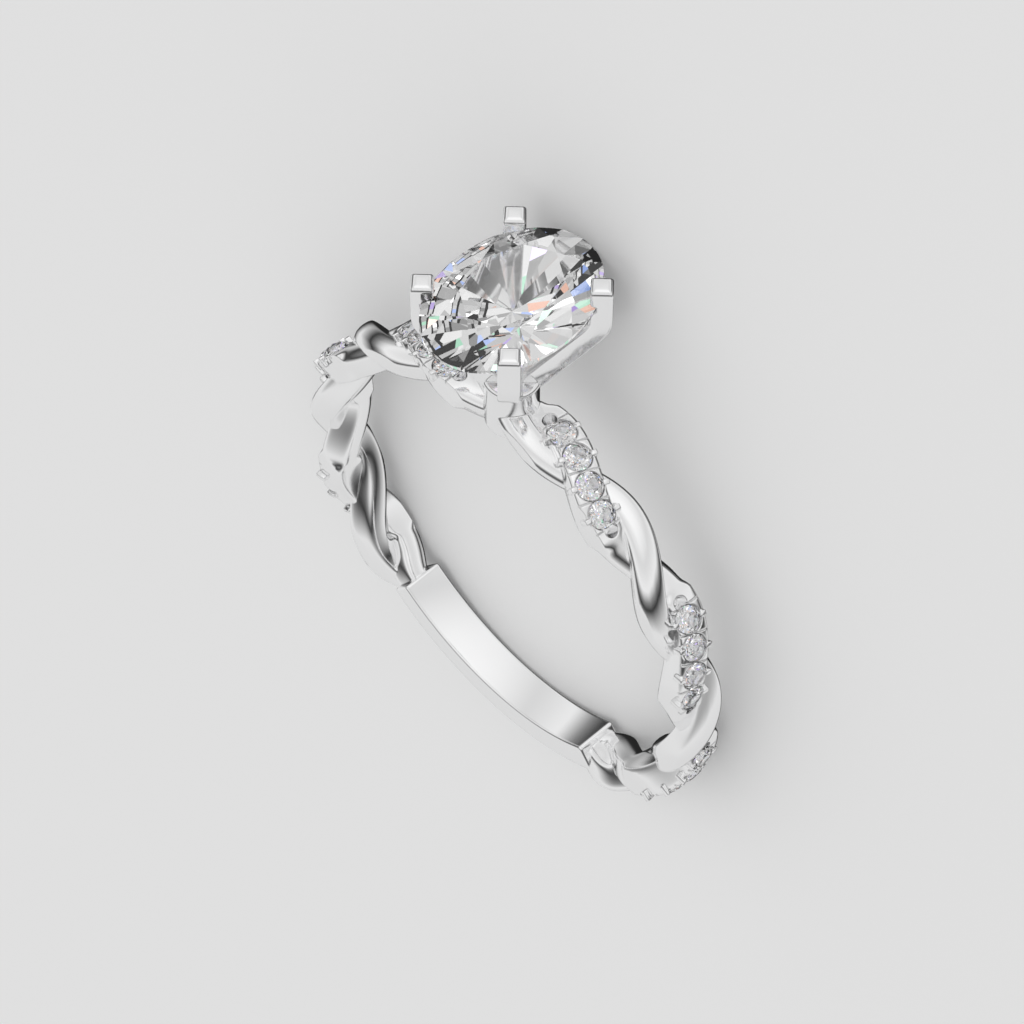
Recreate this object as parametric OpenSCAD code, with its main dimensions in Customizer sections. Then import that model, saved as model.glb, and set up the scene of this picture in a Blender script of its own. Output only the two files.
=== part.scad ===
// Ring with a twisted two-strand shank, a four-claw head with an oval stone
// and six groups of small round stones set into one strand.
// The ring lies on its side, as it comes to rest on a table. Units are millimetres.
// Each module first draws its piece in the ring's own frame: finger hole along Y, head towards +Z.

/* [Finger hole] */
// Inside radius of the ring
bore_radius = 8.25; // [7.5:0.05:9.5]

/* [Twisted shank] */
// Height of the twist's middle line above the inside radius
twist_height = 1.15; // [1.1:0.01:1.3]
// How far each strand swings to either side
side_swing = 0.54; // [0.48:0.01:0.6]
// How far each strand swings in and out
radial_swing = 0.29; // [0.24:0.01:0.34]
// Turns of the twist in a full circle
turns_in_circle = 7.8; // [7.4:0.1:8.2]
// Angle by which the twist is turned about the finger
twist_start = -2.3; // [-6:0.1:6]
// Width of a strand
strand_width = 1.38; // [1.3:0.01:1.45]
// Thickness of a strand
strand_thickness = 1.26; // [1.2:0.01:1.35]
// Width of a strand's outer face
strand_face = 0.72; // [0.6:0.02:0.9]
// Width of the outer face where it holds stones
accent_face = 1.16; // [1:0.02:1.2]
// Width of the shank between the flats on its two sides
shank_width = 2.14; // [2.1:0.01:2.3]

/* [Sizing bar] */
// Angle of the plain bar at the back
bar_angle = 72; // [60:0.5:80]
// Middle of the bar, measured from the head
bar_middle = 182; // [178:0.5:186]
// Width of the bar
bar_width = 1.72; // [1.6:0.02:1.9]
// Height of the bar's straight side
bar_side_height = 0.9; // [0.8:0.02:1]
// Full thickness of the bar
bar_thickness = 1.3; // [1.25:0.01:1.45]

/* [Centre stone] */
// Length of the oval stone along the finger
stone_length = 7.04; // [6.8:0.02:7.2]
// Width of the oval stone
stone_width = 5.12; // [4.96:0.02:5.2]
// Height of the stone's girdle above the inside radius
girdle_height = 7.25; // [7.1:0.05:7.6]
// Height of the stone's crown
crown_height = 0.72; // [0.6:0.02:0.8]
// Height of the stone's girdle
girdle_thickness = 0.14; // [0.1:0.01:0.2]
// Depth of the stone below its girdle
pavilion_depth = 2.15; // [1.9:0.05:2.3]

/* [Claws, collar and post] */
// Width of a claw
claw_width = 0.78; // [0.7:0.02:0.86]
// Thickness of a claw outside the stone's edge
claw_wall = 0.47; // [0.41:0.01:0.55]
// Height of a claw's top above the middle of the girdle
claw_rise = 0.92; // [0.86:0.01:1.1]
// Radius of the post through the shank
post_radius = 0.97; // [0.85:0.01:1.05]
// Height of the post's foot above the inside radius
post_foot = 0.6; // [0.5:0.05:0.7]
// Height of the collar's top above the inside radius
collar_top = 3.15; // [3:0.05:3.3]
// How far the collar's lip stands out from the post
collar_lip = 0.09; // [0.05:0.01:0.15]

/* [Accent stones] */
// Diameter of an accent stone
accent_diameter = 1.02; // [0.9:0.01:1.04]
// Angle from one accent stone to the next
accent_step = 5.45; // [5.4:0.05:5.7]
// Height of an accent's girdle above the strand's outer face
accent_lift = -0.08; // [-0.14:0.01:-0.02]
// Sideways shift of the accent stones on the strand
accent_shift = -0.1; // [-0.12:0.01:0]
// Angle by which the groups are turned on from the strand's outermost places
accent_turn = 0.6; // [0:0.1:1]
// Width of a small prong along the strand
small_prong = 0.22; // [0.16:0.01:0.26]
// Height of a small prong above the accent's girdle
small_prong_rise = 0.13; // [0.1:0.01:0.18]

/* [Colour] */
// Colour of the metal
metal_colour = [0.86, 0.87, 0.88];
// Colour of the stones
stone_colour = [0.92, 0.95, 0.98];

/* [Hidden] */
gap = 0.04;
stones_in_group = 4;
groups = 6;

// Twist
turn_angle = 360 / turns_in_circle;
twist_radius = bore_radius + twist_height;
bar_start = bar_middle - bar_angle / 2;
bar_end = bar_middle + bar_angle / 2;
strand_overlap = 6;
sink_lead = 6;
sections = 84;

// Levels above the finger hole's centre
girdle_z = bore_radius + girdle_height;
collar_z = bore_radius + collar_top;
post_z = bore_radius + post_foot;
bar_edge_radius = bore_radius + bar_side_height;

// The claws stand on the diagonals, outside the oval's edge
claw_slope = 1.31;
diagonal_edge = 1 / sqrt(0.5 / pow(stone_width / 2, 2) + 0.5 / pow(stone_length / 2, 2));
claw_out = diagonal_edge + claw_wall;
claw_in = claw_out - claw_width;

// The ring rests on the stone's end and on the edge of the bar
rest_tilt = atan((stone_length / 2 - bar_width / 2) / (girdle_z - girdle_thickness / 2 + bar_edge_radius));
rest_height = stone_length / 2 * cos(rest_tilt) - (girdle_z - girdle_thickness / 2) * sin(rest_tilt);
head_reach = (girdle_z + claw_rise) * cos(rest_tilt) + 0.7 * claw_out * sin(rest_tilt);
back_reach = (bore_radius + bar_thickness) * cos(rest_tilt);
rest_shift = (head_reach - back_reach) / 2;

function unit(v) = v / norm(v);
function phase(angle) = -360 * (angle - twist_start - turn_angle / 2) / turn_angle;
function outward(angle) = [sin(angle), 0, cos(angle)];
function along(angle) = [cos(angle), 0, -sin(angle)];

// How far a strand has sunk into the bar, from 0 outside it to 1 at the strand's end
function sunk(angle) =
    let (
        inside = max(angle - bar_start, bar_end - 360 - angle),
        u = max(0, min(1, (inside + sink_lead) / (strand_overlap + sink_lead)))
    )
    u * u * (3 - 2 * u);

// Middle line of a strand and its direction, with turn 0 for the stone-set strand and 180 for the plain one
function middle(angle, turn) =
    let (s = sunk(angle), p = phase(angle) + turn)
    ((1 - s) * (twist_radius + radial_swing * cos(p)) + s * (bore_radius + 0.64)) * outward(angle)
    + [0, (1 - s) * side_swing * sin(p), 0];
function heading(angle, turn) = unit(middle(angle + 0.1, turn) - middle(angle - 0.1, turn));
function lift(angle, turn) =
    let (h = heading(angle, turn), o = outward(angle))
    unit(o - (o * h) * h);
function across(angle, turn) = cross(lift(angle, turn), heading(angle, turn));

// How far the outer face has widened for the stones, from 0 between the groups to 1 at them
function widened(angle) =
    let (
        away = min([for (g = [0 : groups - 1]) abs(angle - group_angle(g))]),
        u = max(0, min(1, (2.35 * accent_step + 2.5 - away) / 2.5))
    )
    u * u * (3 - 2 * u);

// Outline of a strand's cross-section as [across, outward], with a soft outer face and bevels
function strand_outline(wide) =
    let (
        w = strand_width / 2,
        t = strand_thickness / 2,
        f = (strand_face + wide * (accent_face - strand_face)) / 2,
        dome = 0.06 - 0.03 * wide,
        side = 0.24 + 0.16 * wide,
        bw = (w + f) / 2 + 0.03,
        bt = (t - dome + side) / 2 + 0.03
    )
    [
        [f, t - dome], [f / 3, t - dome / 9], [-f / 3, t - dome / 9], [-f, t - dome],
        [-bw, bt], [-w, side], [-w, -side], [-bw, -bt],
        [-f, dome - t], [-f / 3, dome / 9 - t], [f / 3, dome / 9 - t], [f, dome - t],
        [bw, -bt], [w, -side], [w, side], [bw, bt]
    ];

module strand(turn) {
    n = len(strand_outline(0));
    first = bar_end - 360 - strand_overlap;
    step = (bar_start + strand_overlap - first) / sections;
    points = [
        for (i = [0 : sections])
            let (
                angle = first + i * step,
                c = middle(angle, turn),
                a = across(angle, turn),
                l = lift(angle, turn),
                size = 1 - 0.18 * sunk(angle)
            )
            for (p = strand_outline(turn == 0 ? widened(angle) : 0)) c + size * (p[0] * a + p[1] * l)
    ];
    walls = [
        for (i = [0 : sections - 1])
            for (j = [0 : n - 1])
                let (k = (j + 1) % n, a = i * n + j, b = i * n + k, c = a + n, d = b + n)
                each [[a, d, b], [a, c, d]]
    ];
    ends = [[for (j = [0 : n - 1]) j], [for (j = [n - 1 : -1 : 0]) sections * n + j]];
    polyhedron(points = points, faces = concat(walls, ends), convexity = 12);
}

module strands() {
    intersection() {
        union() {
            strand(0);
            strand(180);
        }
        rotate([90, 0, 0]) cylinder(r = bore_radius + 4, h = shank_width, center = true, $fn = 48);
    }
}

module bar() {
    w = bar_width / 2;
    fillet = 0.1;
    crown = bar_thickness - bar_side_height;
    profile = [
        [bore_radius, -w + fillet], [bore_radius, w - fillet],
        [bore_radius + 0.3 * fillet, w - 0.3 * fillet], [bore_radius + fillet, w],
        [bar_edge_radius, w], [bar_edge_radius + 0.55 * crown, 0.8 * w],
        [bar_edge_radius + 0.88 * crown, 0.45 * w], [bar_edge_radius + crown, 0],
        [bar_edge_radius + 0.88 * crown, -0.45 * w], [bar_edge_radius + 0.55 * crown, -0.8 * w],
        [bar_edge_radius, -w], [bore_radius + fillet, -w],
        [bore_radius + 0.3 * fillet, -w + 0.3 * fillet]
    ];
    rotate([90, 0, 0])
        rotate([0, 0, 90 - bar_end])
            rotate_extrude(angle = bar_angle, $fn = 110) polygon(profile);
}

module post() {
    edge = 0.14;
    lip_z = collar_z - 0.36;
    r = post_radius;
    profile = [
        [0, post_z], [r - edge, post_z], [r - 0.3 * edge, post_z + 0.3 * edge], [r, post_z + edge],
        [r, lip_z - 0.1], [r + collar_lip, lip_z], [r + collar_lip, collar_z - 0.12],
        [r + collar_lip - 0.04, collar_z - 0.04], [r + collar_lip - 0.12, collar_z], [0, collar_z]
    ];
    rotate_extrude($fn = 30) polygon(profile);
}

// A convex piece of metal drawn from side outlines as [outward, up], each with its own width
module claw_part(outlines, widths) {
    hull()
        for (k = [0 : len(outlines) - 1])
            rotate([90, 0, 0]) linear_extrude(widths[k], center = true) polygon(outlines[k]);
}

// A square post that leans out from the collar, stands upright past the knee and ends in a soft pad
module claw() {
    e = 0.07;
    o = claw_out;
    i = claw_in;
    w = claw_width;
    top = girdle_z + claw_rise;
    foot = [0.98, collar_z - 0.3];
    knee = foot[1] + claw_slope * (o - foot[0]);
    heel = foot + w * [-0.795, 0.607];
    inner = heel[1] + claw_slope * (i - heel[0]);
    claw_part(
        [
            [foot, [o - 0.34, knee - 0.44], [o - 0.09, knee], [o, knee + 0.45], [i, knee + 0.45], [i, inner], heel],
            [
                foot + e * [-0.8, 0.6], [o - 0.34 - e, knee - 0.44], [o - 0.09 - e, knee], [o - e, knee + 0.45],
                [i + e, knee + 0.45], [i + e, inner], heel + e * [0.8, -0.6]
            ]
        ],
        [w - 2 * e, w]
    );
    claw_part(
        [
            [[o, knee + 0.4], [o, top - 0.25], [i, top - 0.25], [i, knee + 0.2]],
            [[o - e, knee + 0.4], [o - e, top - 0.25], [i + e, top - 0.25], [i + e, knee + 0.2]]
        ],
        [w - 2 * e, w]
    );
    claw_part(
        [
            [[o, top - 0.5], [o, top - 0.27], [i, top - 0.27], [i, top - 0.5]],
            [[o - e, top - 0.5], [o - e, top - 0.24], [i + e, top - 0.24], [i + e, top - 0.5]],
            [[o - e, top - 0.12], [i + e, top - 0.12], [i + 0.2, top], [o - 0.2, top]]
        ],
        [w - 2 * e, w, w - 0.36]
    );
}

module claws() {
    for (q = [0 : 3]) rotate([0, 0, 45 + 90 * q]) claw();
}

// Place children on the stone-set strand's outer face, X along the strand and Z outward
module on_strand(angle, above) {
    p = middle(angle, 0);
    h = heading(angle, 0);
    l = lift(angle, 0);
    a = cross(l, h);
    shift = accent_shift - 0.2 * side_swing * sin(phase(angle));
    c = p + (strand_thickness / 2 + above) * l + [0, shift, 0];
    multmatrix([
        [h[0], a[0], l[0], c[0]],
        [h[1], a[1], l[1], c[1]],
        [h[2], a[2], l[2], c[2]],
        [0, 0, 0, 1]
    ]) children();
}

// Middle of each group, near where the stone-set strand lies outermost
function group_angle(g) = twist_start + accent_turn + (g - (groups - 1) / 2) * turn_angle;
function accent_angle(i) =
    group_angle(floor(i / stones_in_group))
    + (i % stones_in_group - (stones_in_group - 1) / 2) * accent_step;

module accent_seats() {
    r = (accent_diameter / 2 + gap) / cos(18);
    for (i = [0 : groups * stones_in_group - 1])
        on_strand(accent_angle(i), accent_lift)
            rotate_extrude($fn = 10)
                polygon([
                    [0, -0.06 - accent_diameter * 0.46], [0.16, -0.06 - accent_diameter * 0.46],
                    [r, -0.06], [r, 0.8], [0, 0.8]
                ]);
}

// A pair of small square prongs beside each accent stone
module small_prongs() {
    side = accent_diameter / 2 + 0.1;
    for (i = [0 : groups * stones_in_group - 1])
        on_strand(accent_angle(i), accent_lift)
            for (s = [-1, 1])
                translate([-small_prong / 2, s * side - 0.12, -0.3])
                    cube([small_prong, 0.24, 0.3 + small_prong_rise]);
}

// A brilliant cut with a table, stars, kites, upper and lower halves and pavilion mains.
// a and b are the half widths of the girdle, n is the number of kites.
module brilliant(a, b, crown, girdle, depth, table, n) {
    m = 2 * n;
    mid_z = girdle / 2 + crown * 0.6;
    mid_r = 0.5 + table / 2 + 0.01;
    low_z = -girdle / 2 - depth * 0.79;
    low_r = 0.22;
    tip = 7 * n;
    points = concat(
        [for (k = [0 : n - 1]) let (t = 360 * k / n) [a * table * cos(t), b * table * sin(t), girdle / 2 + crown]],
        [for (k = [0 : n - 1]) let (t = 360 * (k + 0.5) / n) [a * mid_r * cos(t), b * mid_r * sin(t), mid_z]],
        [for (k = [0 : m - 1]) let (t = 360 * k / m) [a * cos(t), b * sin(t), girdle / 2]],
        [for (k = [0 : m - 1]) let (t = 360 * k / m) [a * cos(t), b * sin(t), -girdle / 2]],
        [for (k = [0 : n - 1]) let (t = 360 * (k + 0.5) / n) [a * low_r * cos(t), b * low_r * sin(t), low_z]],
        [[0, 0, -girdle / 2 - depth]]
    );
    top = [[for (k = [0 : n - 1]) n - 1 - k]];
    crown_faces = [
        for (k = [0 : n - 1])
            let (
                k1 = (k + 1) % n, s = n + k, s1 = n + (k + n - 1) % n,
                g = 2 * n + 2 * k, g1 = 2 * n + (2 * k + 1) % m, g2 = 2 * n + (2 * k + 2) % m
            )
            each [[k, k1, s], [s1, k, s], [s1, s, g], [s, g1, g], [s, g2, g1]]
    ];
    girdle_faces = [
        for (k = [0 : m - 1])
            let (u = 2 * n + k, v = 2 * n + (k + 1) % m)
            each [[u, v, v + m], [u, v + m, u + m]]
    ];
    pavilion_faces = [
        for (k = [0 : n - 1])
            let (
                s = 6 * n + k, s1 = 6 * n + (k + n - 1) % n,
                g = 4 * n + 2 * k, g1 = 4 * n + (2 * k + 1) % m, g2 = 4 * n + (2 * k + 2) % m
            )
            each [[g, g1, s], [g1, g2, s], [s1, g, s], [s1, s, tip]]
    ];
    polyhedron(points = points, faces = concat(top, crown_faces, girdle_faces, pavilion_faces), convexity = 2);
}

// A plain oval or round double cone that clears a stone all round
module stone_clearance(a, b, crown, girdle, depth, table, space) {
    scale([1, b / a, 1])
        rotate_extrude($fn = 48)
            polygon([
                [0, -girdle / 2 - depth - space], [a + 1.2 * space, -girdle / 2 - space],
                [a + 1.2 * space, girdle / 2 + space], [a * 0.8 + space, girdle / 2 + 0.6 * crown + space],
                [a * table + space, girdle / 2 + crown + space],
                [0, girdle / 2 + crown + space]
            ]);
}

// Lay the ring down on the stone's end and the bar's edge, centred over the origin
module lay_down() {
    translate([0, rest_shift, rest_height]) rotate([rest_tilt - 90, 0, 180]) children();
}

module ring_mount() {
    color(metal_colour) lay_down() union() {
        difference() {
            union() {
                strands();
                bar();
                post();
                claws();
                small_prongs();
            }
            translate([0, 0, girdle_z])
                stone_clearance(stone_width / 2, stone_length / 2, crown_height, girdle_thickness,
                    pavilion_depth, 0.58, gap);
            accent_seats();
        }
    }
}

module center_stone() {
    color(stone_colour) lay_down()
        translate([0, 0, girdle_z])
            brilliant(stone_width / 2, stone_length / 2, crown_height, girdle_thickness,
                pavilion_depth, 0.58, 16);
}

module accent(i) {
    r = accent_diameter / 2;
    color(stone_colour) lay_down()
        on_strand(accent_angle(i), accent_lift)
            brilliant(r, r, 0.15 * accent_diameter, 0.05 * accent_diameter,
                0.4 * accent_diameter, 0.56, 8);
}

ring_mount();
center_stone();
for (i = [1 : groups * stones_in_group])
    accent(i - 1);
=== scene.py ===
import bmesh
import bpy
import itertools
import math
import numpy as np
from mathutils import Matrix, Vector


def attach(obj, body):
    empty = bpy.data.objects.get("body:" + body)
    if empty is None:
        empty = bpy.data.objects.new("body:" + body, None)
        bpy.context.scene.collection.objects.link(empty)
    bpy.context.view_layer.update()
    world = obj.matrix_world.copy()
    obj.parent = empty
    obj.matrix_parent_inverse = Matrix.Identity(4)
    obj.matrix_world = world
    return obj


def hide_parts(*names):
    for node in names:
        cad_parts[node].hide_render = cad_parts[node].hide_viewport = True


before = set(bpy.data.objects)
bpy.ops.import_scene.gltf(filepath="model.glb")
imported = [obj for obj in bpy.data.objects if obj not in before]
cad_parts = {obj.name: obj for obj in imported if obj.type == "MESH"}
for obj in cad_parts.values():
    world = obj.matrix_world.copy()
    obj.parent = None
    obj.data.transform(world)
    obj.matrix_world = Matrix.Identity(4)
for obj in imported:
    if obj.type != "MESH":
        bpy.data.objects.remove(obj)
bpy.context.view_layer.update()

# Sizes in millimetres and degrees, in the ring's own frame: finger hole along Y, head towards +Z
BORE = 8.25
TWIST_HEIGHT = 1.15
SINK_HEIGHT = 0.64
SINK_SHRINK = 0.18
SIDE_SWING = 0.54
RADIAL_SWING = 0.29
TURNS = 7.8
START = -2.3
STRAND_W = 1.38
STRAND_T = 1.26
STRAND_FACE = 0.72
ACCENT_FACE = 1.16
FACE_DOME = 0.06
FACE_REACH = 2.35
FACE_FADE = 2.5
SHANK_W = 2.14
BAR_ANGLE = 72.0
BAR_MIDDLE = 182.0
BAR_W = 1.72
BAR_SIDE = 0.9
BAR_T = 1.3
BAR_CORNER = 0.1
STONE_L = 7.04
STONE_W = 5.12
GIRDLE_Z = BORE + 7.25
GIRDLE_T = 0.14
CROWN_H = 0.72
PAVILION = 2.15
TABLE = 0.58
STAR_REACH = 0.8
STAR_HEIGHT = 0.6
CULET_REACH = 0.22
STONE_TURNS = 8
CLAW_W = 0.78
CLAW_WALL = 0.47
CLAW_RISE = 0.92
CLAW_SLOPE = 1.31
CLAW_CORNER = 0.07
CLAW_CAP = 0.24
CLAW_PAD = 0.2
POST_R = 0.97
POST_EDGE = 0.14
POST_FOOT = BORE + 0.6
COLLAR_TOP = BORE + 3.15
LIP = 0.09
LIP_R = 0.15
GROUPS = 6
STONES = 4
ACCENT_D = 1.02
ACCENT_STEP = 5.45
ACCENT_LIFT = -0.08
ACCENT_SHIFT = -0.1
ACCENT_TURN = 0.6
END_REACH = 2.15
MILLING = (0.05, 2.2, 0.4)
MILLING_Z = 0.05
PRONG = (0.2, 0.24, 0.43)
PRONG_Z = -0.085
PRONG_OUT = 0.1
PRONG_SOFT = 0.03
GAP = 0.04
AXIS_R = 0.001
OVERLAP = 6.0
SINK_LEAD = 6.0
TURN = 360.0 / TURNS
TWIST_R = BORE + TWIST_HEIGHT
BAR_START = BAR_MIDDLE - BAR_ANGLE / 2
BAR_END = BAR_MIDDLE + BAR_ANGLE / 2

# Fineness of the curves
OUTLINE_PARTS = 5
OUTLINE_ROUNDS = 3
STRAND_STEPS = 440
BAR_STEPS = 110
BAR_END_STEPS = 7
ROUND_STEPS = 96
SEAT_STEPS = 40
MILLED_END_STEPS = 32
CLAW_ROUNDS = 14
CLAW_CAP_STEPS = 10
OVAL_STEPS = 128
BEVEL_SEGMENTS = 3
BEVEL_ANGLE = math.radians(30)
SMOOTH_ANGLE = math.radians(32)

# The ring lies on the stone's end and the bar's edge
TILT = math.atan((STONE_L / 2 - BAR_W / 2) / (GIRDLE_Z - GIRDLE_T / 2 + BORE + BAR_SIDE))
REST_Z = STONE_L / 2 * math.cos(TILT) - (GIRDLE_Z - GIRDLE_T / 2) * math.sin(TILT)
DIAGONAL = 1 / math.sqrt(0.5 / (STONE_W / 2) ** 2 + 0.5 / (STONE_L / 2) ** 2)
CLAW_OUT = DIAGONAL + CLAW_WALL
HEAD_REACH = (GIRDLE_Z + CLAW_RISE) * math.cos(TILT) + 0.7 * CLAW_OUT * math.sin(TILT)
REST_Y = (HEAD_REACH - (BORE + BAR_T) * math.cos(TILT)) / 2
TURN_DOWN = Matrix.Rotation(math.pi, 4, "Z") @ Matrix.Rotation(TILT - math.pi / 2, 4, "X")
RING = Matrix.Scale(0.001, 4) @ Matrix.Translation((0, REST_Y, REST_Z)) @ TURN_DOWN


def unit(v):
    return v / np.linalg.norm(v)


def soft_step(u):
    """Smooth step from 0 to 1, level at both ends."""
    u = max(0.0, min(1.0, u))
    return u * u * (3 - 2 * u)


def phase(angle):
    return -2 * math.pi * (angle - START - TURN / 2) / TURN


def sunk(angle):
    """How far a strand has sunk into the bar, 0 outside it and 1 at the strand's end."""
    inside = max(angle - BAR_START, BAR_END - 360 - angle)
    return soft_step((inside + SINK_LEAD) / (OVERLAP + SINK_LEAD))


def middle(angle, turn):
    """Middle of the strand that is turned by turn about the twist's own middle line."""
    t = math.radians(angle)
    s = sunk(angle)
    p = phase(angle) + turn
    r = (1 - s) * (TWIST_R + RADIAL_SWING * math.cos(p)) + s * (BORE + SINK_HEIGHT)
    return np.array([r * math.sin(t), (1 - s) * SIDE_SWING * math.sin(p), r * math.cos(t)])


def strand_frame(angle, turn):
    """Middle point, heading, across and outward directions of a strand at an angle in degrees."""
    t = math.radians(angle)
    out = np.array([math.sin(t), 0, math.cos(t)])
    h = unit(middle(angle + 0.1, turn) - middle(angle - 0.1, turn))
    up = unit(out - out.dot(h) * h)
    return middle(angle, turn), h, np.cross(up, h), up


def group_angle(g):
    return START + ACCENT_TURN + (g - (GROUPS - 1) / 2) * TURN


def accent_angle(g, k):
    return group_angle(g) + (k - (STONES - 1) / 2) * ACCENT_STEP


def widened(angle):
    """How far the stone-set strand's outer face has widened, 1 at the groups of stones."""
    away = min(abs(angle - group_angle(g)) for g in range(GROUPS))
    return soft_step((FACE_REACH * ACCENT_STEP + FACE_FADE - away) / FACE_FADE)


def outline(wide):
    """Cross-section of a strand: an outer face, bevels and sides, with soft corners."""
    w = STRAND_W / 2
    t = STRAND_T / 2
    f = (STRAND_FACE + wide * (ACCENT_FACE - STRAND_FACE)) / 2
    dome = FACE_DOME - 0.5 * FACE_DOME * wide
    side = 0.24 + 0.16 * wide
    bw = (w + f) / 2 + 0.03
    bt = (t - dome + side) / 2 + 0.03
    top = [(f, t - dome), (f / 3, t - dome / 9), (-f / 3, t - dome / 9), (-f, t - dome)]
    top += [(-bw, bt), (-w, side)]
    low = [(-x, -y) for x, y in top]
    pts = np.array(top + low)
    dense = []
    for i in range(len(pts)):
        a, b = pts[i], pts[(i + 1) % len(pts)]
        for k in range(OUTLINE_PARTS):
            dense.append(a + (b - a) * k / OUTLINE_PARTS)
    pts = np.array(dense)
    for _ in range(OUTLINE_ROUNDS):
        pts = 0.5 * pts + 0.25 * (np.roll(pts, 1, 0) + np.roll(pts, -1, 0))
    return pts


def make(name, verts, faces):
    me = bpy.data.meshes.new(name)
    points = [tuple(float(x) for x in v) for v in verts]
    me.from_pydata(points, [], faces)
    me.update()
    ob = bpy.data.objects.new(name, me)
    bpy.context.scene.collection.objects.link(ob)
    return ob


def loft(name, rings):
    """Closed solid through rings of points, all with as many points."""
    n = len(rings[0])
    verts = [p for ring in rings for p in ring]
    faces = []
    for i in range(len(rings) - 1):
        for j in range(n):
            k = (j + 1) % n
            faces.append((i * n + j, i * n + k, (i + 1) * n + k, (i + 1) * n + j))
    first = [(j + 1) % n for j in range(n)][::-1]
    last = [(len(rings) - 1) * n + j for j in range(n)]
    ob = make(name, verts, faces + [tuple(first), tuple(last)])
    outward(ob)
    return ob


def outward(ob):
    """Turns the faces of a closed mesh outwards."""
    bm = bmesh.new()
    bm.from_mesh(ob.data)
    bmesh.ops.recalc_face_normals(bm, faces=bm.faces)
    if bm.calc_volume(signed=True) < 0:
        bmesh.ops.reverse_faces(bm, faces=bm.faces)
    bm.to_mesh(ob.data)
    bm.free()


def lathe(name, profile, steps):
    """Turns a closed outline of (radius, height) round Z."""
    n = len(profile)
    verts = []
    for i in range(steps):
        t = math.radians(360.0 * i / steps)
        verts += [(r * math.cos(t), r * math.sin(t), h) for r, h in profile]
    faces = []
    for i in range(steps):
        a = i * n
        b = (i + 1) % steps * n
        for j in range(n):
            k = (j + 1) % n
            faces.append((a + j, a + k, b + k, b + j))
    ob = make(name, verts, faces)
    outward(ob)
    return ob


def apply_modifiers(ob):
    dg = bpy.context.evaluated_depsgraph_get()
    me = bpy.data.meshes.new_from_object(ob.evaluated_get(dg))
    old = ob.data
    ob.modifiers.clear()
    ob.data = me
    bpy.data.meshes.remove(old)


def combine(ob, others, operation):
    """Union, difference or intersection of ob with each of the others, which are used up."""
    for other in others:
        m = ob.modifiers.new("cut", "BOOLEAN")
        m.operation = operation
        m.solver = "MANIFOLD"
        m.object = other
        apply_modifiers(ob)
        data = other.data
        bpy.data.objects.remove(other)
        bpy.data.meshes.remove(data)
    return ob


def place(ob, matrix):
    ob.data.transform(matrix)
    return ob


def box(name, size, centre=(0, 0, 0)):
    verts = []
    for corner in itertools.product((-1, 1), repeat=3):
        verts.append([c * s / 2 + m for c, s, m in zip(corner, size, centre)])
    faces = [(0, 1, 3, 2), (4, 6, 7, 5), (0, 4, 5, 1), (2, 3, 7, 6), (0, 2, 6, 4), (1, 5, 7, 3)]
    ob = make(name, verts, faces)
    outward(ob)
    return ob


def bevelled(ob, width):
    m = ob.modifiers.new("bevel", "BEVEL")
    m.width = width
    m.segments = BEVEL_SEGMENTS
    m.limit_method = "ANGLE"
    m.angle_limit = BEVEL_ANGLE
    apply_modifiers(ob)
    return ob


def join(ob, others):
    """Adds the meshes of the others to ob's, without a union."""
    bm = bmesh.new()
    bm.from_mesh(ob.data)
    for o in others:
        bm.from_mesh(o.data)
    bm.to_mesh(ob.data)
    bm.free()
    for o in others:
        bpy.data.objects.remove(o)


# Twisted strands
def strand(name, turn, holds_stones):
    plain_pts = outline(0)
    rings = []
    first = BAR_END - 360 - OVERLAP
    last = BAR_START + OVERLAP
    for i in range(STRAND_STEPS + 1):
        angle = first + (last - first) * i / STRAND_STEPS
        c, _, across, up = strand_frame(angle, turn)
        size = 1 - SINK_SHRINK * sunk(angle)
        wide = widened(angle) if holds_stones else 0
        pts = outline(wide) if wide else plain_pts
        rings.append([c + size * (x * across + y * up) for x, y in pts])
    ob = loft(name, rings)
    combine(ob, [box("slab", (40, SHANK_W, 40))], "INTERSECT")
    return ob


def on_strand(angle, above):
    """Frame of a stone on the stone-set strand, at a height above its outer face."""
    c, h, across, up = strand_frame(angle, 0)
    s = ACCENT_SHIFT - 0.2 * SIDE_SWING * math.sin(phase(angle))
    c = c + (STRAND_T / 2 + above) * up + np.array([0, s, 0])
    m = Matrix.Identity(4)
    for k, v in enumerate((h, across, up, c)):
        for r in range(3):
            m[r][k] = v[r]
    return m


def accent_cutters():
    """Seats, round milled ends and fine cuts between the stones, each in its place."""
    r = ACCENT_D / 2 + GAP
    seat = [(AXIS_R, -0.54), (0.1, -0.54), (r, -0.06), (r, 0.8), (AXIS_R, 0.8)]
    end = [(AXIS_R, -0.4), (0.16, -0.4), (0.27, -0.15), (0.27, 0.5), (AXIS_R, 0.5)]
    out = []
    for g in range(GROUPS):
        mid = group_angle(g)
        for k in range(STONES):
            m = on_strand(accent_angle(g, k), ACCENT_LIFT)
            out.append(place(lathe("seat", seat, SEAT_STEPS), m))
        for k in (-END_REACH, END_REACH):
            m = on_strand(mid + k * ACCENT_STEP, ACCENT_LIFT)
            out.append(place(lathe("end", end, MILLED_END_STEPS), m))
        for k in range(STONES + 1):
            m = on_strand(mid + (k - STONES / 2) * ACCENT_STEP, 0)
            out.append(place(box("cut", MILLING, (0, 0, MILLING_Z)), m))
    return out


def small_prongs():
    out = []
    side = ACCENT_D / 2 + PRONG_OUT
    for g in range(GROUPS):
        for k in range(STONES):
            m = on_strand(accent_angle(g, k), ACCENT_LIFT)
            for y in (side, -side):
                prong = bevelled(box("prong", PRONG, (0, y, PRONG_Z)), PRONG_SOFT)
                out.append(place(prong, m))
    return out


stone_set = strand("stone_set", 0, True)
combine(stone_set, accent_cutters(), "DIFFERENCE")
plain = strand("plain", math.pi, False)


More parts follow.
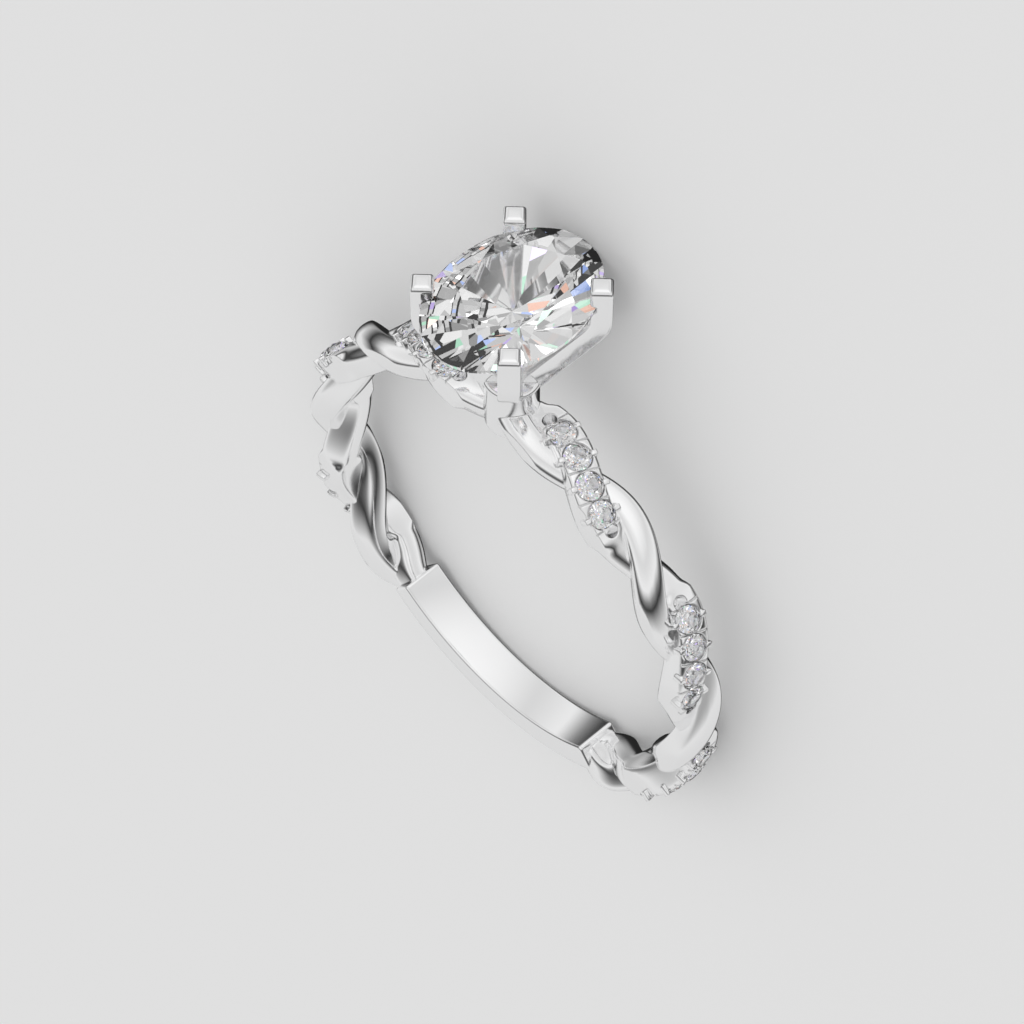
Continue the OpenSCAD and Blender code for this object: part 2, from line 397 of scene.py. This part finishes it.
# Sizing bar, with a soft edge round each end
def bar_outline(inset):
    w = BAR_W / 2 - inset
    crown = BAR_T - BAR_SIDE
    low = BORE + inset
    f = BAR_CORNER
    pts = []
    for k in range(9):
        t = math.radians(90 * k / 8)
        pts.append((low + f - f * math.cos(t), w - f + f * math.sin(t)))
    for k in range(25):
        t = math.radians(180 * k / 24)
        y = math.cos(t)
        r = BORE + BAR_SIDE - inset + crown * abs(math.sin(t)) ** 0.9
        pts.append((r, w * math.copysign(abs(y) ** 0.75, y)))
    for k in range(9):
        t = math.radians(90 - 90 * k / 8)
        pts.append((low + f - f * math.cos(t), -w + f - f * math.sin(t)))
    return pts


def bar():
    """The bar as a loft, with a soft edge of the corner's radius at both ends."""
    soft = BAR_CORNER * math.degrees(1 / (BORE + 0.7))
    stations = []
    for k in range(BAR_END_STEPS):
        t = math.radians(15 * k)
        stations.append((BAR_START + soft * (1 - math.cos(t)), BAR_CORNER * (1 - math.sin(t))))
    for k in range(1, BAR_STEPS):
        stations.append((BAR_START + soft + (BAR_ANGLE - 2 * soft) * k / BAR_STEPS, 0.0))
    stations += [(BAR_START + BAR_END - a, d) for a, d in reversed(stations[:BAR_END_STEPS])]
    rings = []
    for angle, inset in stations:
        t = math.radians(angle)
        rings.append([(r * math.sin(t), h, r * math.cos(t)) for r, h in bar_outline(inset)])
    return loft("bar", rings)


# Post and collar
def post():
    r = POST_R
    e = POST_EDGE
    pts = [(AXIS_R, POST_FOOT), (r - e, POST_FOOT)]
    for a in range(10, 91, 10):
        t = math.radians(a)
        pts.append((r - e + e * math.sin(t), POST_FOOT + e - e * math.cos(t)))
    pts.append((r, COLLAR_TOP - 2 * LIP_R - 0.12))
    for a in range(-60, 91, 10):
        t = math.radians(a)
        pts.append((r + LIP - LIP_R + LIP_R * math.cos(t), COLLAR_TOP - LIP_R + LIP_R * math.sin(t)))
    pts.append((AXIS_R, COLLAR_TOP))
    return lathe("post", pts, ROUND_STEPS)


# Claws: square posts that lean out from the collar, stand up past the knee and end in a soft pad
def squared(width, corner, parts=5):
    """Outline of a square with rounded corners."""
    h = width / 2
    pts = []
    for q in range(4):
        a0 = 90 * q
        cx = (h - corner) * (1 if q in (0, 3) else -1)
        cy = (h - corner) * (1 if q in (0, 1) else -1)
        for k in range(parts + 1):
            t = math.radians(a0 + 90 * k / parts)
            pts.append((cx + corner * math.cos(t), cy + corner * math.sin(t)))
    return pts


def claw(q):
    """A claw, lofted along its middle line and turned to quarter q."""
    half = CLAW_W / 2
    mid = CLAW_OUT - half
    top = GIRDLE_Z + CLAW_RISE
    start = (0.98 - 0.795 * half, COLLAR_TOP - 0.3 + 0.607 * half)
    low = (start[0] - 0.15, start[1] - 0.15 * CLAW_SLOPE)
    knee = (mid, start[1] + CLAW_SLOPE * (mid - start[0]))
    pts = []
    for a, b, n in ((low, knee, 30), (knee, (mid, top), 24)):
        a = np.array(a)
        b = np.array(b)
        pts += [a + (b - a) * k / n for k in range(n)]
    pts.append(np.array((mid, top)))
    pts = np.array(pts)
    for _ in range(CLAW_ROUNDS):
        pts[1:-1] = 0.5 * pts[1:-1] + 0.25 * (pts[:-2] + pts[2:])
    square = squared(CLAW_W, CLAW_CORNER)
    rings = []
    for i in range(len(pts)):
        if pts[i][1] > top - CLAW_CAP:
            break
        t = unit(pts[min(i + 1, len(pts) - 1)] - pts[max(i - 1, 0)])
        rings.append([(pts[i][0] + t[1] * x, y, pts[i][1] - t[0] * x) for x, y in square])
    for k in range(CLAW_CAP_STEPS):
        t = math.radians(90 * k / (CLAW_CAP_STEPS - 1))
        inset = CLAW_PAD * (1 - math.cos(t))
        scale = (half - inset) / half
        z = top - CLAW_CAP + CLAW_CAP * math.sin(t)
        rings.append([(mid + x * scale, y * scale, z) for x, y in square])
    ob = loft("claw", rings)
    return place(ob, Matrix.Rotation(math.radians(45 + 90 * q), 4, "Z"))


def stone_clearance():
    """The oval stone with its gap, to be taken out of the claws."""
    a = STONE_W / 2
    g = GIRDLE_T / 2 + GAP
    edge = a + 1.2 * GAP
    pts = [(AXIS_R, -g - PAVILION), (edge, -g), (edge, g)]
    pts += [(a * STAR_REACH + GAP, g + STAR_HEIGHT * CROWN_H), (a * TABLE + GAP, g + CROWN_H)]
    pts += [(AXIS_R, g + CROWN_H)]
    ob = lathe("clearance", pts, ROUND_STEPS)
    stretch = Matrix.Diagonal((1, STONE_L / STONE_W, 1, 1))
    return place(ob, Matrix.Translation((0, 0, GIRDLE_Z)) @ stretch)


claws = [claw(q) for q in range(4)]
notch = stone_clearance()
for c in claws:
    copy = notch.copy()
    copy.data = notch.data.copy()
    bpy.context.scene.collection.objects.link(copy)
    combine(c, [copy], "DIFFERENCE")
bpy.data.objects.remove(notch)

metal = stone_set
metal.name = "ring_mount_look"
combine(metal, [plain, bar(), post()] + claws, "UNION")
join(metal, small_prongs())
metal.data.transform(RING)
metal.data.shade_smooth()
metal.data.set_sharp_from_angle(angle=SMOOTH_ANGLE)
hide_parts("ring_mount")
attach(metal, "root")


# The oval stone with its facets cut as planes, so that its edge is a true oval
def stone_facets():
    """Planes as turn, distance from the axis at the girdle, steepness and side."""
    step = 2 * math.pi / STONE_TURNS
    edge = TABLE * math.cos(step / 2)
    slope = (1 - STAR_HEIGHT) * CROWN_H / (STAR_REACH - edge)
    upper = STAR_HEIGHT * CROWN_H / (1 - STAR_REACH * math.cos(step / 4))
    lower = PAVILION * (1 - CULET_REACH * math.cos(step / 2)) / (1 - CULET_REACH * math.cos(step / 4))
    planes = []
    for k in range(STONE_TURNS):
        planes.append((k * step, 1.0, CROWN_H / (1 - TABLE), 1))
        planes.append(((k + 0.5) * step, edge + CROWN_H / slope, slope, 1))
        planes.append((k * step, 1.0, PAVILION, -1))
    for k in range(2 * STONE_TURNS):
        planes.append(((k + 0.5) * step / 2, 1.0, upper, 1))
        planes.append(((k + 0.5) * step / 2, 1.0, lower, -1))
    return planes


def cut_stone(name):
    g = GIRDLE_T / 2
    turns = [2 * math.pi * k / OVAL_STEPS for k in range(OVAL_STEPS)]
    rings = [[(math.cos(t), math.sin(t), z) for t in turns] for z in (-g - PAVILION - 0.1, g + CROWN_H)]
    ob = loft(name, rings)
    bm = bmesh.new()
    bm.from_mesh(ob.data)
    for turn, reach, slope, side in stone_facets():
        normal = Vector((slope * math.cos(turn), slope * math.sin(turn), side))
        point = Vector((reach * math.cos(turn), reach * math.sin(turn), side * g))
        geom = bm.verts[:] + bm.edges[:] + bm.faces[:]
        cut = bmesh.ops.bisect_plane(
            bm, geom=geom, plane_co=point, plane_no=normal, clear_outer=True, dist=1e-6
        )
        edges = [e for e in cut["geom_cut"] if isinstance(e, bmesh.types.BMEdge)]
        if edges:
            bmesh.ops.contextual_create(bm, geom=edges)
    bmesh.ops.recalc_face_normals(bm, faces=bm.faces)
    oval_shape = Matrix.Diagonal((STONE_W / 2, STONE_L / 2, 1, 1))
    bmesh.ops.transform(bm, matrix=oval_shape, verts=bm.verts)
    bm.to_mesh(ob.data)
    bm.free()
    return ob


oval = cut_stone("center_stone_look")
oval.data.transform(RING @ Matrix.Translation((0, 0, GIRDLE_Z)))
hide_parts("center_stone")
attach(oval, "root")


# Materials: edges in metres; the stones bend light less than real ones, which keeps them bright inside
EDGE_RADIUS = 0.00008
STONE_IOR = 1.75


def new_material(name):
    m = bpy.data.materials.new(name)
    m.use_nodes = True
    return m, m.node_tree.nodes["Principled BSDF"]


def white_gold():
    """Polished metal with a fine change in its roughness and softened edges."""
    m, p = new_material("polished_white_gold")
    nt = m.node_tree
    p.inputs["Metallic"].default_value = 1.0
    p.inputs["Base Color"].default_value = (0.93, 0.93, 0.933, 1)
    tc = nt.nodes.new("ShaderNodeTexCoord")
    noise = nt.nodes.new("ShaderNodeTexNoise")
    noise.inputs["Scale"].default_value = 900
    noise.inputs["Detail"].default_value = 3
    ramp = nt.nodes.new("ShaderNodeMapRange")
    ramp.inputs["From Min"].default_value = 0.3
    ramp.inputs["From Max"].default_value = 0.7
    ramp.inputs["To Min"].default_value = 0.1
    ramp.inputs["To Max"].default_value = 0.14
    nt.links.new(tc.outputs["Object"], noise.inputs["Vector"])
    nt.links.new(noise.outputs["Fac"], ramp.inputs["Value"])
    nt.links.new(ramp.outputs["Result"], p.inputs["Roughness"])
    bevel = nt.nodes.new("ShaderNodeBevel")
    bevel.samples = 8
    bevel.inputs["Radius"].default_value = EDGE_RADIUS
    nt.links.new(bevel.outputs["Normal"], p.inputs["Normal"])
    return m


def clear_stone():
    m, p = new_material("clear_cut_stone")
    p.inputs["Base Color"].default_value = (1, 1, 1, 1)
    p.inputs["Transmission Weight"].default_value = 1.0
    p.inputs["IOR"].default_value = STONE_IOR
    p.inputs["Roughness"].default_value = 0.0
    return m


gold = white_gold()
clear = clear_stone()
for ob in (metal, oval):
    ob.data.materials.clear()
    ob.data.materials.append(gold if ob is metal else clear)
for name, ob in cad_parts.items():
    ob.data.materials.clear()
    ob.data.materials.append(gold if name == "ring_mount" else clear)

# Floor: the metal and the stones don't show it, since the world's bands and patches stand in for it there
FLOOR = 3
corners = [(-FLOOR, -FLOOR, 0), (FLOOR, -FLOOR, 0), (FLOOR, FLOOR, 0), (-FLOOR, FLOOR, 0)]
floor = make("floor", corners, [(0, 1, 2, 3)])
pale, pale_node = new_material("pale_floor")
pale_node.inputs["Base Color"].default_value = (0.78, 0.78, 0.78, 1)
pale_node.inputs["Roughness"].default_value = 1.0
pale_node.inputs["Specular IOR Level"].default_value = 0.0
floor.data.materials.append(pale)
floor.visible_glossy = False
floor.visible_transmission = False

# Camera in the ring's own frame, with the photograph's angle and roll
AZ = math.radians(46.7)
EL = math.radians(55.1)
DISTANCE = 140.0
AIM_Z = 3.06
FOCAL_PX = 3872.0
PICTURE_PX = 1024
SENSOR = 36
back = Vector((math.sin(AZ) * math.cos(EL), -math.cos(AZ) * math.cos(EL), math.sin(EL)))
right = Vector((math.cos(AZ), math.sin(AZ), 0))
up = back.cross(right)

# World: soft bands and a dark spot for the metal, small patches for the stones, plain light for the floor
BANDS = [
    (0, 0.72),
    (0.28, 0.8),
    (0.4, 0.38),
    (0.5, 0.02),
    (0.58, 0.24),
    (0.68, 0.9),
    (0.85, 0.72),
    (1.0, 1.05),
]
SPOT = right * 0.25 + up * 0.25 - back * 0.93
SPOT_EDGES = (0.75, 0.93)
SPOT_LIGHT = 0.02
PATCH_SCALE = 18
PATCHES = [(0, 0.3), (0.06, 0.45), (0.2, 0.58), (0.45, 0.72), (0.75, 0.9), (0.93, 1.8)]
HUES = [
    (0, (1.3, 0.55, 0.3, 1)),
    (0.25, (0.25, 0.5, 1.3, 1)),
    (0.5, (0.6, 0.35, 1.2, 1)),
    (0.75, (0.4, 1.1, 0.7, 1)),
]
FIRE = [(0, 0.0), (0.9, 0.5)]
FLOOR_LIGHT = 1.0

world = bpy.data.worlds.new("studio")
bpy.context.scene.world = world
world.use_nodes = True
wn = world.node_tree


def grey(value):
    return (value, value, value, 1)


def ramp_node(stops, source, interpolation):
    """Colours or greys along a value, from a list of places and colours."""
    node = wn.nodes.new("ShaderNodeValToRGB")
    node.color_ramp.interpolation = interpolation
    elements = node.color_ramp.elements
    while len(elements) < len(stops):
        elements.new(1.0)
    for e, (pos, col) in zip(elements, stops):
        e.position = pos
        e.color = col if isinstance(col, tuple) else grey(col)
    wn.links.new(source, node.inputs["Fac"])
    return node.outputs["Color"]


def towards(direction, low, high, interpolation):
    """How far light comes from a direction of the ring's frame, 0 at the cosine low and 1 at high."""
    dot = wn.nodes.new("ShaderNodeVectorMath")
    dot.operation = "DOT_PRODUCT"
    dot.inputs[1].default_value = (TURN_DOWN.to_3x3() @ direction).normalized()
    wn.links.new(coords.outputs["Generated"], dot.inputs[0])
    span = wn.nodes.new("ShaderNodeMapRange")
    span.interpolation_type = interpolation
    span.inputs["From Min"].default_value = low
    span.inputs["From Max"].default_value = high
    wn.links.new(dot.outputs["Value"], span.inputs["Value"])
    return span.outputs["Result"]


def blend(share, a, b):
    """Mixes two colours or sockets, where a share of 1 gives b."""
    node = wn.nodes.new("ShaderNodeMix")
    node.data_type = "RGBA"
    wn.links.new(share, node.inputs[0])
    for value, socket in ((a, node.inputs[6]), (b, node.inputs[7])):
        if isinstance(value, tuple):
            socket.default_value = value
        else:
            wn.links.new(value, socket)
    return node.outputs[2]


coords = wn.nodes.new("ShaderNodeTexCoord")
height = towards(Vector((0, 0, 1)), -1, 1, "LINEAR")
spot = towards(SPOT, *SPOT_EDGES, "SMOOTHSTEP")
metal_light = blend(spot, ramp_node(BANDS, height, "LINEAR"), grey(SPOT_LIGHT))

cells = wn.nodes.new("ShaderNodeTexVoronoi")
cells.inputs["Scale"].default_value = PATCH_SCALE
wn.links.new(coords.outputs["Generated"], cells.inputs["Vector"])
split = wn.nodes.new("ShaderNodeSeparateColor")
wn.links.new(cells.outputs["Color"], split.inputs["Color"])
patch = ramp_node(PATCHES, split.outputs["Red"], "CONSTANT")
hue = ramp_node(HUES, split.outputs["Green"], "CONSTANT")
fire = ramp_node(FIRE, split.outputs["Blue"], "CONSTANT")
stone_light = blend(fire, patch, hue)

rays = wn.nodes.new("ShaderNodeLightPath")
light = blend(rays.outputs["Is Transmission Ray"], metal_light, stone_light)
light = blend(rays.outputs["Is Diffuse Ray"], light, grey(FLOOR_LIGHT))
wn.links.new(light, wn.nodes["Background"].inputs["Color"])

# Camera
turn = Matrix((right, up, back)).transposed()
cam = bpy.data.cameras.new("camera")
camera = bpy.data.objects.new("camera", cam)
bpy.context.scene.collection.objects.link(camera)
bpy.context.scene.camera = camera
pose = (TURN_DOWN.to_3x3() @ turn).to_4x4()
pose.translation = RING @ (Vector((0, 0, AIM_Z)) + back * DISTANCE)
camera.matrix_world = pose
cam.sensor_width = SENSOR
cam.lens = FOCAL_PX / PICTURE_PX * SENSOR
cam.clip_start = 0.01
cam.clip_end = 20

bpy.context.scene.view_settings.view_transform = "Standard"
